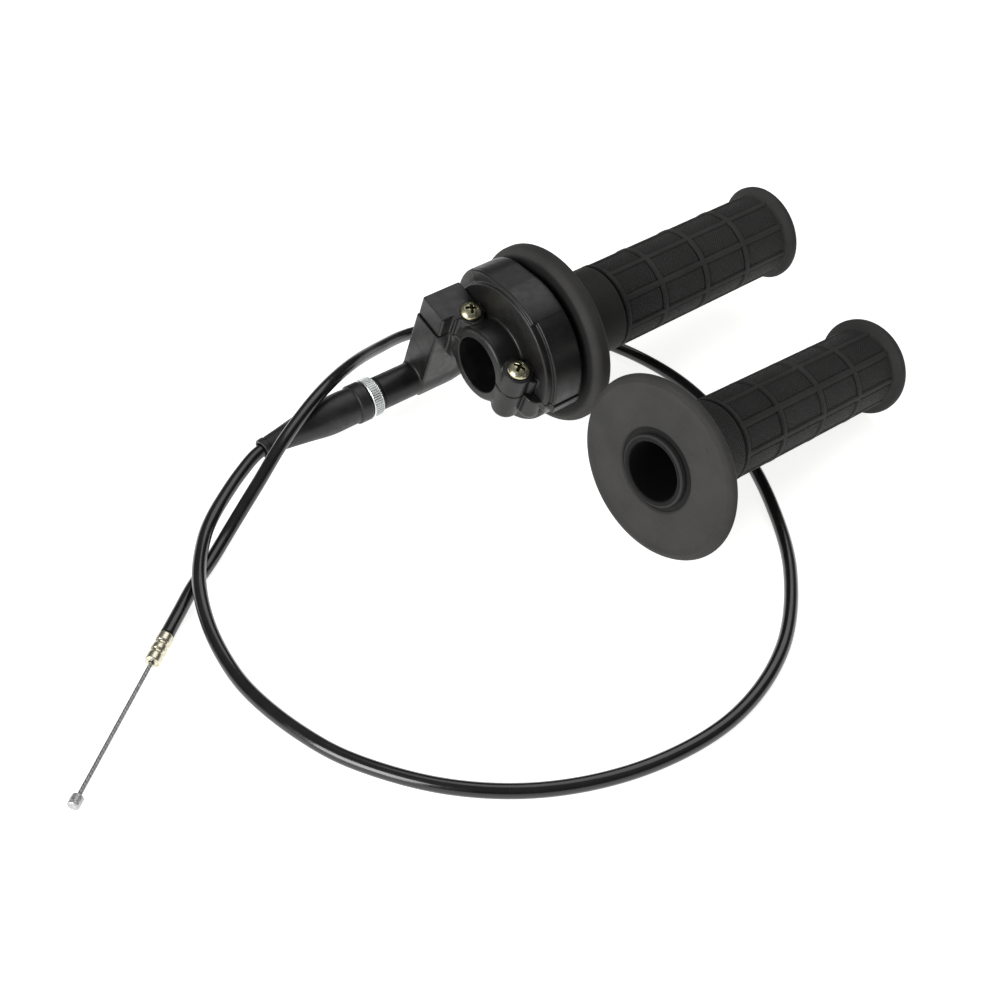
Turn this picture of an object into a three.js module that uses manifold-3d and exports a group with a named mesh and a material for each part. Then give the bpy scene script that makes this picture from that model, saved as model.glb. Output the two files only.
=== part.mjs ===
// Twist throttle for a 22 mm motorcycle handlebar, with its cable and the matching left grip.
// Millimetres, +Z up. The handlebar axis runs along +X and the set lies on the plane Z = 0.
import * as THREE from 'three';
import { mergeVertices } from 'three/addons/utils/BufferGeometryUtils.js';
import Module from 'manifold-3d';

const wasm = await Module();
wasm.setup();

// ---- Frame -----------------------------------------------------------------------------
const BAR = new THREE.Vector3(-5.2, 39.9, 36.5);      // throttle grip's flange, on the bar axis
const SPLIT_TILT = THREE.MathUtils.degToRad(21);      // roll of the housing about the bar axis
const LEFT = new THREE.Vector3(-23.7, -45.8, 34.37);  // left grip's flange, on its own axis
const LEFT_YAW = THREE.MathUtils.degToRad(3.9);
const LEFT_DIP = THREE.MathUtils.degToRad(7.18);
const GAP = 0.3;                                      // between pieces that touch

// ---- Housing and its inside: x along the bar, a across the split, b square to the split --
const BAR_BORE = 11.15;                               // clamps a 7/8 in (22.2 mm) handlebar
const DRUM = { front: -19.3, back: -6, radius: 30.3, step: 28.6, stepFront: -21.8 };
const BULGE = { a: 11.4, b: 6.8, radius: 20.5 };
const CAVITY = { front: -17.4, back: -8, radius: 26.3, mouth: 14.4 };
const SPLIT = 2;                                      // height of the split above the bar axis
const LEDGE = { bottom: -1.8, radius: 27.9 };         // below it the drum is slimmer
const COLLAR = { front: -32.4, radius: 15.2, round: 1.2 };
const SCREW = { x: -27.3, spread: 15.3, seat: 11.6, head: 4.3, crown: 2.8, shank: 2.4, tip: -10.9 };
const BOSS = { radius: 5.5, bottom: -12.8, round: 2.6 };
const LUG = { x: -21.5, a: -22, radius: 4.2, bottom: -10, top: 2, round: 2.4 };
const STEM = { x: -22.6, a: -19.5, radius: 2.3, bottom: -2, top: 9.5, round: 0.6 };
const INSERT = { radius: 3.2, top: -2, bottom: -9.6 };
const ARM = { front: -39.6, blockBack: -22.3, inner: 16.3, outer: 29.6, top: 11.6, arc: 18.5 };
const WIRE = { radius: 0.75, a: 22.6, b: -31.3, x: -12.7, bend: 14, start: -1, end: -79.6 };
const ELBOW = { radius: 6.75, end: -57, bore: 3.2, thread: 4.3, threadStart: -46 };
const GUIDE = { radius: 2.6, bore: 1.4, top: -17, end: -45.6 };

// ---- Throttle tube and grips --------------------------------------------------------------
const SLEEVE = { radius: 13.2, bore: 11.4, front: -16.2, end: 117.5 };
const PULLEY = { rim: 25.6, groove: 21.5, grooveFront: -14.2, grooveBack: -11.2, back: -8.4 };
const WASHER = { front: -17.1, back: -16.5, bore: 12, radius: 18 };
const DRUM_NIPPLE = { angle: THREE.MathUtils.degToRad(24), radius: 3, front: -15.9, back: -10.6 };
const GRIP = { flange: 35.9, front: -3, back: 4.6, barrel: 17, length: 122.6, end: 19.9 };
const LEFT_GRIP = { flange: 34.6, front: -2.5, back: 1.9, barrel: 15.9, length: 122.4, end: 19.4 };
const MOUTH = { front: -4.1, radius: 13.5, endWall: 4.5 };

// ---- Cable end at the housing ----------------------------------------------------------------
const SEAL = { from: -58.1, to: -57.3, radius: 7.1, bore: 5.2 };
const LOCK_NUT = { from: -63, to: -58.4, radius: 8, bore: 4.3 };
const ADJUSTER = { start: -46.5, shoulder: -63.3, end: -78, radius: 4, head: 5.2, bore: 1.4, socket: 3.7 };
const CAP = { from: -84, to: -72, radius: 3.4, bore: 2.8, hole: 1.2, floor: -79.7 };
const BOOT = { start: -63.4, lip: -68.6, lipRadius: 7.9, radius: 7.3, tip: 3.9, room: 5.6, roomEnd: -87 };

// ---- Cable and its carburettor end ---------------------------------------------------------
const CORD = { radius: 2.5, sides: 8, steps: 80, bore: 1.05, boreDepth: 22 };
const FERRULE = { length: 12.6, radius: 2.8, bore: 1.1 };
const CARB_WIRE = { hidden: 3, shown: 56 };
const CARB_NIPPLE = { radius: 2, length: 4.2 };
const TAIL = new THREE.Vector3(-0.785, -0.62, 0).normalize();

// Route of the cable's centreline, from the adjuster to the carburettor's end. It leaves the
// boot, crosses over its own tail, runs round on the ground under both grips, rises over the
// boot and comes down beside itself.
const ROUTE = [
  [-85.2, 72.2, 15.4], [-95.6, 72.2, 15.4], [-106.6, 72.2, 15.1], [-117, 71.6, 14],
  [-126.6, 68.1, 12], [-136.5, 62.7, 10.4], [-146.8, 55.6, 9.3], [-154.9, 47.8, 8.8],
  [-166.4, 31.5, 8.3], [-173.6, 13.7, 5.2], [-177.2, -5.9, 3], [-177.6, -20.9, 2.6],
  [-174.4, -43.2, 2.6], [-168.1, -62.7, 2.6], [-150.8, -89.9, 2.6], [-127.4, -109.9, 2.6],
  [-96.9, -122.5, 2.6], [-62.6, -124.9, 2.6], [-29, -113.9, 2.6], [1.2, -89.4, 2.6],
  [21.7, -61.2, 2.6], [36.8, -31.3, 2.6], [47.6, 4.2, 2.6], [48.4, 32.1, 2.6],
  [41.4, 60.1, 2.8], [26.4, 86.1, 3.2], [4.4, 102.1, 4.6], [-21.7, 105.5, 8.6],
  [-43.2, 97.4, 15.4], [-66.6, 84.7, 23.4], [-88.6, 72.9, 26.2], [-110.8, 62.7, 21.8],
  [-126.2, 56.4, 14.4], [-141.6, 50.7, 6.4], [-156, 42.7, 2.8],
].map((p) => new THREE.Vector3(...p));
const CORD_END = new THREE.Vector3(-186.5, 20.1, 2.9);
const STRAIGHT = [24, 12, 0].map((d) => CORD_END.clone().addScaledVector(TAIL, -d));

const MATERIALS = {
  plastic: { color: 0x1b1b1a, roughness: 0.42, metalness: 0 },
  rubber: { color: 0x2c2c2c, roughness: 0.85, metalness: 0 },
  boot: { color: 0x161616, roughness: 0.55, metalness: 0 },
  nylon: { color: 0x26262a, roughness: 0.5, metalness: 0 },
  whiteNylon: { color: 0xd9d6cc, roughness: 0.6, metalness: 0 },
  pvc: { color: 0x0e0e0e, roughness: 0.22, metalness: 0 },
  yellowZinc: { color: 0xb8a468, roughness: 0.28, metalness: 1 },
  whiteZinc: { color: 0xdfe6e4, roughness: 0.3, metalness: 1 },
  brass: { color: 0xb9a070, roughness: 0.32, metalness: 1 },
  steel: { color: 0x8f9092, roughness: 0.4, metalness: 1 },
  castZinc: { color: 0xa3a4a6, roughness: 0.5, metalness: 1 },
};

// ---- Solids ---------------------------------------------------------------------------------

// Welds a geometry into one closed surface that faces outwards.
function weld(source) {
  const geometry = source.index ? source.clone() : mergeVertices(source.clone());
  geometry.deleteAttribute('normal');
  geometry.deleteAttribute('uv');
  const merged = mergeVertices(geometry, 1e-3);
  const index = [...merged.index.array];
  const p = merged.attributes.position;
  const kept = [];
  let volume = 0;
  for (let i = 0; i < index.length; i += 3) {
    const [i0, i1, i2] = index.slice(i, i + 3);
    if (i0 === i1 || i1 === i2 || i2 === i0) continue;
    kept.push(i0, i1, i2);
    const v = [i0, i1, i2].map((k) => new THREE.Vector3().fromBufferAttribute(p, k));
    volume += v[0].dot(v[1].cross(v[2])) / 6;
  }
  if (volume < 0) kept.reverse();
  merged.setIndex(kept);
  return merged;
}

function toSolid(source) {
  const geometry = weld(source);
  return new wasm.Manifold(new wasm.Mesh({
    numProp: 3,
    vertProperties: new Float32Array(geometry.attributes.position.array),
    triVerts: new Uint32Array(geometry.index.array),
  }));
}

function fromSolid(solid) {
  const { numProp, vertProperties, triVerts } = solid.getMesh();
  if (numProp !== 3) throw new Error('a solid carries positions only');
  const geometry = new THREE.BufferGeometry();
  geometry.setAttribute('position', new THREE.BufferAttribute(new Float32Array(vertProperties), 3));
  geometry.setIndex([...triVerts]);
  return geometry;
}

function join(...geometries) {
  return fromSolid(geometries.map(toSolid).reduce((sum, solid) => sum.add(solid)));
}

function cut(geometry, ...tools) {
  return fromSolid(tools.map(toSolid).reduce((rest, tool) => rest.subtract(tool), toSolid(geometry)));
}

// The tightest convex body around two pieces.
function wrapped(first, second) {
  return fromSolid(wasm.Manifold.hull([toSolid(first), toSolid(second)]));
}

function common(geometry, other) {
  return fromSolid(toSolid(geometry).intersect(toSolid(other)));
}

// Turns a profile of [x, radius] points about the X axis.
function turned(profile, segments = 48, closed = false) {
  const points = profile.map(([x, r]) => new THREE.Vector2(r, x));
  if (closed) points.push(points[0].clone());
  return weld(new THREE.LatheGeometry(points, segments).rotateZ(-Math.PI / 2));
}

// A rod between two x stations, and a sleeve with a bore.
function rod(from, to, radius, segments = 32) {
  return turned([[from, 0], [from, radius], [to, radius], [to, 0]], segments);
}

function sleeve(from, to, radius, bore, segments = 32) {
  return turned([[from, bore], [from, radius], [to, radius], [to, bore]], segments, true);
}

// The same rod standing along b at (x, a).
function post(x, a, from, to, radius, segments = 24) {
  return rod(from, to, radius, segments).rotateY(-Math.PI / 2).translate(x, a, 0);
}

function block(x0, x1, a0, a1, b0, b1) {
  const geometry = new THREE.BoxGeometry(x1 - x0, a1 - a0, b1 - b0);
  return geometry.translate((x0 + x1) / 2, (a0 + a1) / 2, (b0 + b1) / 2);
}

// A round tube along a curve, whose radius may change from its start (0) to its end (1).
function swept(curve, radius, sides, steps) {
  if (typeof radius === 'number') {
    const section = new THREE.Shape();
    for (let i = 0; i < sides; i++) {
      const angle = (i / sides) * 2 * Math.PI;
      const corner = [radius * Math.cos(angle), radius * Math.sin(angle)];
      if (i === 0) section.moveTo(...corner);
      else section.lineTo(...corner);
    }
    return new THREE.ExtrudeGeometry(section, { steps, extrudePath: curve, bevelEnabled: false });
  }
  const points = [];
  for (let i = 0; i <= steps; i++) points.push(new THREE.Vector2(radius(i / steps), i));
  points.unshift(new THREE.Vector2(0, 0));
  points.push(new THREE.Vector2(0, steps));
  const geometry = new THREE.LatheGeometry(points, sides);
  const frames = curve.computeFrenetFrames(steps);
  const position = geometry.attributes.position;
  for (let i = 0; i < position.count; i++) {
    const station = Math.round(position.getY(i));
    const place = curve.getPointAt(station / steps);
    place.addScaledVector(frames.normals[station], position.getX(i));
    place.addScaledVector(frames.binormals[station], position.getZ(i));
    position.setXYZ(i, place.x, place.y, place.z);
  }
  return geometry;
}

// A straight line, a quarter bend and a straight line, as one path.
function bentPath(top, end) {
  const path = new THREE.CurvePath();
  const corner = new THREE.Vector3(WIRE.x, WIRE.a, WIRE.b);
  const bendStart = corner.clone().setZ(WIRE.b + WIRE.bend);
  const bendEnd = corner.clone().setX(WIRE.x - WIRE.bend);
  path.add(new THREE.LineCurve3(new THREE.Vector3(WIRE.x, WIRE.a, top), bendStart));
  path.add(new QuarterBend(bendStart, bendEnd, corner));
  path.add(new THREE.LineCurve3(bendEnd, new THREE.Vector3(end, WIRE.a, WIRE.b)));
  return path;
}

class QuarterBend extends THREE.Curve {
  constructor(start, end, corner) {
    super();
    this.centre = start.clone().add(end).sub(corner);
    this.start = start.clone().sub(this.centre);
    this.end = end.clone().sub(this.centre);
  }

  getPoint(t, target = new THREE.Vector3()) {
    const angle = (t * Math.PI) / 2;
    target.copy(this.centre);
    target.addScaledVector(this.start, Math.cos(angle));
    return target.addScaledVector(this.end, Math.sin(angle));
  }
}

// ---- Housing --------------------------------------------------------------------------------

function armPlate() {
  const shape = new THREE.Shape();
  const bendX = WIRE.x - WIRE.bend;
  const bendB = WIRE.b + WIRE.bend;
  shape.moveTo(ARM.front, ARM.top);
  shape.lineTo(ARM.front, bendB - ARM.arc);
  shape.lineTo(bendX, bendB - ARM.arc);
  shape.absarc(bendX, bendB, ARM.arc, -Math.PI / 2, 0, false);
  shape.lineTo(bendX + ARM.arc, 5);
  shape.lineTo(ARM.blockBack, 5);
  shape.lineTo(ARM.blockBack, ARM.top);
  const depth = ARM.outer - ARM.inner;
  const plate = new THREE.ExtrudeGeometry(shape, { depth, bevelEnabled: false, curveSegments: 12 });
  return plate.rotateX(Math.PI / 2).translate(0, ARM.outer, 0);
}

// An upright post with a rounded foot.
function lobe(x, a, top, { radius, bottom, round }) {
  const foot = turned([
    [bottom, 0], [bottom, radius - round], [bottom + round * 0.3, radius - round * 0.3],
    [bottom + round, radius], [top, radius], [top, 0],
  ], 24);
  return foot.rotateY(-Math.PI / 2).translate(x, a, 0);
}

// One disc of the drum's rim, with eased edges.
function drumDisc(radius) {
  const { front, back } = DRUM;
  return turned([
    [back, 0], [back, radius - 0.6], [back - 0.6, radius], [front + 0.5, radius],
    [front, radius - 0.5], [front, 0],
  ], 48);
}

function housingBody() {
  const rim = wrapped(drumDisc(DRUM.radius), drumDisc(BULGE.radius).translate(0, BULGE.a, BULGE.b));
  const face = turned([
    [DRUM.front + 1, 0], [DRUM.front + 1, DRUM.step], [DRUM.stepFront + 0.6, DRUM.step - 0.6],
    [DRUM.stepFront, DRUM.step - 2.4], [DRUM.stepFront, 0],
  ], 48);
  const collar = turned([
    [DRUM.front, 0], [DRUM.front, COLLAR.radius], [COLLAR.front + COLLAR.round, COLLAR.radius],
    [COLLAR.front, COLLAR.radius - COLLAR.round], [COLLAR.front, 0],
  ], 48);
  const elbow = swept(bentPath(-4, ELBOW.end), ELBOW.radius, 16, 12);
  const rib = block(COLLAR.front - 2.4, COLLAR.front + 3, 11.4, ARM.inner + 1, -11, SCREW.seat);
  const below = block(DRUM.stepFront - 1, DRUM.back + 1, -40, 40, -40, LEDGE.bottom);
  const slim = rod(DRUM.front, DRUM.back + 2, LEDGE.radius, 48);
  const drum = join(cut(rim, cut(below, slim)), cut(face, below));
  const bosses = [1, -1].map((side) => lobe(SCREW.x, side * SCREW.spread, SCREW.seat, BOSS));
  const lugs = [LUG, STEM].map((lug) => lobe(lug.x, lug.a, lug.top, lug));
  return join(drum, collar, armPlate(), elbow, rib, ...bosses, ...lugs);
}

function housingCuts() {
  const cuts = [
    rod(COLLAR.front - 1, CAVITY.front + 1, BAR_BORE, 48),
    rod(CAVITY.front, CAVITY.back, CAVITY.radius, 48),
    rod(CAVITY.back - 1, DRUM.back + 1, CAVITY.mouth, 40),
    swept(bentPath(0, ELBOW.end - 1), ELBOW.bore, 10, 12),
    rod(ELBOW.end - 1, ELBOW.threadStart, ELBOW.thread, 20).translate(0, WIRE.a, WIRE.b),
  ];
  for (const side of [1, -1]) {
    const a = side * SCREW.spread;
    cuts.push(post(SCREW.x, a, SCREW.tip - GAP, SCREW.seat + 1, SCREW.shank + GAP));
    cuts.push(post(SCREW.x, a, INSERT.bottom - GAP, 0, INSERT.radius + GAP));
  }
  return cuts;
}

function housingShells() {
  const hollow = cut(housingBody(), ...housingCuts());
  const upper = common(hollow, block(-70, 0, -40, 40, SPLIT + GAP / 2, 40));
  const lower = common(hollow, block(-70, 0, -40, 40, -60, SPLIT - GAP / 2));
  return { upper, lower };
}

function clampScrew(side) {
  const { seat, head, crown, shank, tip } = SCREW;
  const body = turned([
    [tip, 0], [tip, shank - 0.5], [tip + 0.5, shank], [seat + GAP, shank], [seat + GAP, head],
    [seat + GAP + 1, head], [seat + GAP + crown * 0.75, head * 0.75],
    [seat + GAP + crown, head * 0.4], [seat + GAP + crown, 0],
  ], 24);
  const top = seat + GAP + crown;
  const slots = [0, Math.PI / 2].map((turn) => (
    new THREE.BoxGeometry(3, 3.6, 0.8).rotateX(turn).translate(top, 0, 0)
  ));
  const recessed = cut(body, ...slots);
  return recessed.rotateY(-Math.PI / 2).translate(SCREW.x, side * SCREW.spread, 0);
}

function threadInsert(side) {
  const insert = sleeve(INSERT.bottom, INSERT.top, INSERT.radius, SCREW.shank + GAP, 20);
  return insert.rotateY(-Math.PI / 2).translate(SCREW.x, side * SCREW.spread, 0);
}

// ---- Throttle tube, its cable nipple and the grips ---------------------------------------------

function atDrumAngle(geometry, angle) {
  return geometry.translate(0, WIRE.a * Math.cos(angle), WIRE.a * Math.sin(angle));
}

function throttleTube() {
  const tube = turned([
    [SLEEVE.front, SLEEVE.bore], [SLEEVE.front, PULLEY.rim], [PULLEY.grooveFront, PULLEY.rim],
    [PULLEY.grooveFront, PULLEY.groove], [PULLEY.grooveBack, PULLEY.groove],
    [PULLEY.grooveBack, PULLEY.rim], [PULLEY.back, PULLEY.rim], [PULLEY.back, SLEEVE.radius],
    [SLEEVE.end, SLEEVE.radius], [SLEEVE.end, SLEEVE.bore],
  ], 40, true);
  const { angle, radius, back } = DRUM_NIPPLE;
  const pocket = atDrumAngle(rod(SLEEVE.front - 1, back + GAP, radius + GAP, 20), angle);
  return cut(tube, pocket);
}

function drumNipple() {
  const { angle, radius, front, back } = DRUM_NIPPLE;
  return atDrumAngle(rod(front, back, radius, 20), angle);
}

function drumWire() {
  const clear = (DRUM_NIPPLE.radius + GAP + 0.2) / WIRE.a;
  const arc = new THREE.Curve();
  arc.getPoint = (t, target = new THREE.Vector3()) => {
    const angle = (DRUM_NIPPLE.angle - clear) * (1 - t);
    return target.set(WIRE.x, WIRE.a * Math.cos(angle), WIRE.a * Math.sin(angle));
  };
  return weld(swept(arc, WIRE.radius, 8, 6));
}

// Rim, waist and barrel of a flanged grip that is closed at its far end.
function gripOutline({ flange, front, back, barrel, length, end }) {
  return [
    [front, flange - 3], [front + 1.6, flange], [back - 1.6, flange], [back, flange - 3.2],
    [back + 1.6, 24], [back + 4.4, barrel + 2.2], [back + 10, barrel], [length - 8, barrel],
    [length - 4, end], [length - 1.4, end], [length, end - 2.6], [length, 0],
  ];
}

function throttleGrip() {
  const { flange, front } = GRIP;
  const bore = SLEEVE.radius + GAP;
  const hollow = [[SLEEVE.end + GAP, 0], [SLEEVE.end + GAP, bore], [front, bore]];
  return turned([...gripOutline(GRIP), ...hollow, [front, flange - 3]], 32);
}

function leftGrip() {
  const { flange, front, length } = LEFT_GRIP;
  const depth = length - MOUTH.endWall;
  const hollow = [[depth, 0], [depth, BAR_BORE], [MOUTH.front, BAR_BORE]];
  const collar = [[MOUTH.front, MOUTH.radius], [front, MOUTH.radius], [front, flange - 3]];
  return turned([...gripOutline(LEFT_GRIP), ...hollow, ...collar], 32);
}

// ---- Cable end at the housing -------------------------------------------------------------------

function onElbow(geometry) {
  return geometry.translate(0, WIRE.a, WIRE.b);
}

function cableGuide() {
  const pipe = swept(bentPath(GUIDE.top, GUIDE.end), GUIDE.radius, 10, 10);
  const bore = swept(bentPath(GUIDE.top + 1, GUIDE.end - 1), GUIDE.bore, 8, 10);
  return cut(pipe, bore);
}

function leadWire() {
  return weld(swept(bentPath(WIRE.start, WIRE.end), WIRE.radius, 6, 16));
}

function adjusterSleeve() {
  const { start, shoulder, end, radius, head, bore, socket } = ADJUSTER;
  const profile = [
    [start, bore], [start, radius], [shoulder, radius], [shoulder, head], [end, head],
    [end, socket], [CAP.to + GAP, socket], [CAP.to + GAP, bore],
  ];
  return onElbow(turned(profile, 24, true));
}

function cableCap() {
  const { from, to, radius, bore, hole, floor } = CAP;
  const profile = [
    [to, hole], [to, radius], [from, radius], [from, bore], [floor + GAP, bore],
    [floor + GAP, hole],
  ];
  return onElbow(turned(profile, 20, true));
}

function bootPath(from, last) {
  const y = ROUTE[0].y;
  const z = ROUTE[0].z;
  const straight = [from, (from + ROUTE[0].x) / 2].map((x) => new THREE.Vector3(x, y, z));
  return new THREE.CatmullRomCurve3([...straight, ...ROUTE.slice(0, last + 1)], false, 'centripetal');
}

function cableBoot() {
  const start = BAR.x + BOOT.start;
  const taper = (t) => {
    const x = t * (ROUTE[3].x - start);
    if (x > BOOT.lip - BOOT.start) return BOOT.lipRadius;
    const along = THREE.MathUtils.smoothstep(t, 0.3, 1);
    return THREE.MathUtils.lerp(BOOT.radius, BOOT.tip, along);
  };
  const skin = swept(bootPath(start, 3), taper, 16, 14);
  const bore = swept(bootPath(start - 15, 4), CORD.radius + 0.5, 8, 16);
  const centre = ROUTE[0];
  const room = rod(BAR.x + BOOT.roomEnd, start + 1, BOOT.room, 16).translate(0, centre.y, centre.z);
  return cut(skin, room, bore);
}

// ---- Cable and its carburettor end ----------------------------------------------------------------

// A turned piece whose x axis is laid along the tail, with its zero at the cable's end.
function onTail(geometry) {
  const turn = new THREE.Quaternion().setFromUnitVectors(new THREE.Vector3(1, 0, 0), TAIL);
  return geometry.applyQuaternion(turn).translate(...CORD_END.toArray());
}

function cableOuter() {
  const curve = new THREE.CatmullRomCurve3([...ROUTE, ...STRAIGHT], false, 'centripetal');
  const tube = swept(curve, CORD.radius, CORD.sides, CORD.steps);
  return cut(tube, onTail(rod(-CORD.boreDepth, 1, CORD.bore, 8)));
}

function endFerrule() {
  const { length, radius, bore } = FERRULE;
  return onTail(turned([
    [GAP, bore], [GAP, radius], [3.6, radius], [4.1, radius - 0.4], [5, radius - 0.4],
    [5.5, radius], [7.6, radius], [8.1, radius - 0.4], [9, radius - 0.4], [9.5, radius],
    [length - 0.4, radius], [length, radius - 0.4], [length, bore],
  ], 12, true));
}

function carbWire() {
  const from = FERRULE.length - CARB_WIRE.hidden;
  return onTail(rod(from, FERRULE.length + CARB_WIRE.shown, WIRE.radius, 8));
}

function carbNipple() {
  const { radius, length } = CARB_NIPPLE;
  const from = FERRULE.length + CARB_WIRE.shown + GAP;
  const round = 0.5;
  return onTail(turned([
    [from, 0], [from, radius - round], [from + round, radius], [from + length - round, radius],
    [from + length, radius - round], [from + length, 0],
  ], 20));
}

// ---- Assembly ---------------------------------------------------------------------------------------

function named(name, geometry, material) {
  const mesh = new THREE.Mesh(weld(geometry), new THREE.MeshStandardMaterial(MATERIALS[material]));
  mesh.name = name;
  return mesh;
}

const shells = housingShells();
const washer = sleeve(WASHER.front, WASHER.back, WASHER.radius, WASHER.bore, 24);
const seal = sleeve(SEAL.from, SEAL.to, SEAL.radius, SEAL.bore, 20);
const lockNut = sleeve(LOCK_NUT.from, LOCK_NUT.to, LOCK_NUT.radius, LOCK_NUT.bore, 28);

const throttle = new THREE.Group();
throttle.position.copy(BAR);
throttle.rotation.x = SPLIT_TILT;
throttle.add(
  named('housing_upper', shells.upper, 'plastic'),
  named('housing_lower', shells.lower, 'plastic'),
  named('clamp_screw_front', clampScrew(-1), 'yellowZinc'),
  named('clamp_screw_rear', clampScrew(1), 'yellowZinc'),
  named('thread_insert_front', threadInsert(-1), 'brass'),
  named('thread_insert_rear', threadInsert(1), 'brass'),
  named('thrust_washer', washer, 'whiteNylon'),
  named('throttle_tube', throttleTube(), 'nylon'),
  named('throttle_grip', throttleGrip(), 'rubber'),
  named('drum_nipple', drumNipple(), 'castZinc'),
  named('drum_wire', drumWire(), 'steel'),
  named('lead_wire', leadWire(), 'steel'),
  named('cable_guide', cableGuide(), 'steel'),
  named('seal_ring', onElbow(seal), 'boot'),
  named('lock_nut', onElbow(lockNut), 'whiteZinc'),
  named('adjuster_sleeve', adjusterSleeve(), 'whiteZinc'),
  named('cable_cap', cableCap(), 'brass'),
);

const left = new THREE.Group();
left.position.copy(LEFT);
left.rotation.set(0, LEFT_DIP, LEFT_YAW, 'ZYX');
left.add(named('left_grip', leftGrip(), 'rubber'));

const group = new THREE.Group();
group.add(
  throttle,
  left,
  named('cable_boot', cableBoot(), 'boot'),
  named('cable_outer', cableOuter(), 'pvc'),
  named('end_ferrule', endFerrule(), 'brass'),
  named('carb_wire', carbWire(), 'steel'),
  named('carb_nipple', carbNipple(), 'castZinc'),
);

export default group;
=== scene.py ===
"""Twist throttle, its cable and the matching left grip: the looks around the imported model."""
import math

import bmesh
import bpy
import numpy as np
from mathutils import Matrix, Vector


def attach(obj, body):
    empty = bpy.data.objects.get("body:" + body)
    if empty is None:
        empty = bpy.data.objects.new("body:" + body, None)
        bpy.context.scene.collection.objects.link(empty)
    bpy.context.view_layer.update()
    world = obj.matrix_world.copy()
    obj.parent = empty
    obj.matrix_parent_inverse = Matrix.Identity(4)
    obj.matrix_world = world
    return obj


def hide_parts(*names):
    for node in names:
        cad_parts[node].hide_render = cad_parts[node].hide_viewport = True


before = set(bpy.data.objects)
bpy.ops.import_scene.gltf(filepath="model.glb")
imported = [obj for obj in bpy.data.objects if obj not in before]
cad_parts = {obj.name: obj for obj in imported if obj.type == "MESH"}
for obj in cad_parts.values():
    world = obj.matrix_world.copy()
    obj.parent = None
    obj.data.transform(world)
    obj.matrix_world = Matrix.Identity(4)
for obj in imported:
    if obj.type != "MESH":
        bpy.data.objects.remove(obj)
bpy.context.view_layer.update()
rng = np.random.default_rng(7)

MM = 0.001

# ---- Frame, in millimetres as the CAD has it ------------------------------------------------
BAR = np.array([-5.2, 39.9, 36.5])
SPLIT_TILT = math.radians(21)
LEFT = np.array([-23.7, -45.8, 34.37])
LEFT_YAW = math.radians(3.9)
LEFT_DIP = math.radians(7.18)
CORD_RADIUS = 2.5
CORD_BORE = 1.05
TAIL = np.array([-0.785, -0.62, 0.0]) / math.hypot(0.785, 0.62)
CORD_END = np.array([-186.5, 20.1, 2.9])
ROUTE = [
    (-85.2, 72.2, 15.4), (-95.6, 72.2, 15.4), (-106.6, 72.2, 15.1), (-117, 71.6, 14),
    (-126.6, 68.1, 12), (-136.5, 62.7, 10.4), (-146.8, 55.6, 9.3), (-154.9, 47.8, 8.8),
    (-166.4, 31.5, 8.3), (-173.6, 13.7, 5.2), (-177.2, -5.9, 3), (-177.6, -20.9, 2.6),
    (-174.4, -43.2, 2.6), (-168.1, -62.7, 2.6), (-150.8, -89.9, 2.6), (-127.4, -109.9, 2.6),
    (-96.9, -122.5, 2.6), (-62.6, -124.9, 2.6), (-29, -113.9, 2.6), (1.2, -89.4, 2.6),
    (21.7, -61.2, 2.6), (36.8, -31.3, 2.6), (47.6, 4.2, 2.6), (48.4, 32.1, 2.6),
    (41.4, 60.1, 2.8), (26.4, 86.1, 3.2), (4.4, 102.1, 4.6), (-21.7, 105.5, 8.6),
    (-43.2, 97.4, 15.4), (-66.6, 84.7, 23.4), (-88.6, 72.9, 26.2), (-110.8, 62.7, 21.8),
    (-126.2, 56.4, 14.4), (-141.6, 50.7, 6.4), (-156, 42.7, 2.8),
]
ROUTE += [tuple(CORD_END - TAIL * back) for back in (24, 12, 0)]

# Axes of the housing: x along the bar, a across the split, b square to the split.
HOUSING_AXES = np.array([
    [1, 0, 0],
    [0, math.cos(SPLIT_TILT), math.sin(SPLIT_TILT)],
    [0, -math.sin(SPLIT_TILT), math.cos(SPLIT_TILT)],
])
LEFT_AXES = np.array(
    (Matrix.Rotation(LEFT_YAW, 3, "Z") @ Matrix.Rotation(LEFT_DIP, 3, "Y")).transposed()
)

# Housing, in x, a and b from the bar. The split and the ledge under it are heights b.
SPLIT, LEDGE_BOTTOM = 2.0, -1.8
BAR_BORE = 11.15
DRUM_RADIUS, DRUM_FRONT, DRUM_BACK = 30.3, -19.0, -6
SLIM_RADIUS = 27.9
BULGE_A, BULGE_B, BULGE_RADIUS = 11.4, 6.8, 20.5
FACE_RADIUS, FACE_FRONT = 28.6, -21.8
RAISED_ARC, RAISED_FRONT = (36, 108), -20.9
COLLAR_RADIUS, COLLAR_FRONT = 15.2, -32.4
CAVITY_RADIUS, CAVITY_FRONT, CAVITY_BACK, CAVITY_MOUTH = 26.3, -17.4, -8, 14.4
WIRE_A, WIRE_B, WIRE_X, WIRE_BEND = 22.6, -31.3, -12.7, 14.0
BEND_X, BEND_B = WIRE_X - WIRE_BEND, WIRE_B + WIRE_BEND
ARM_ARC, ARM_BACK, ARM_TOP, ARM_WIDTH = 18.5, -22.3, 11.6, (16.3, 29.6)
ARM_FRONT_LOW, ARM_FRONT_HIGH, ARM_FRONT_DISC = -40.1, -39.3, -39.6
ELBOW_RADIUS, ELBOW_END, ELBOW_BORE, ELBOW_THREAD = 6.75, -57, 3.2, 4.3
ELBOW_CENTRE = BAR + WIRE_A * HOUSING_AXES[1] + WIRE_B * HOUSING_AXES[2]
BOSS_RADIUS, BOSS_BOTTOM = 5.5, -12.8
LUG_X, LUG_A, LUG_RADIUS, LUG_BOTTOM = -21.5, -22, 4.2, -10
STEM_X, STEM_A, STEM_RADIUS, STEM_TOP = -22.6, -19.5, 2.3, 9.5

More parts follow.
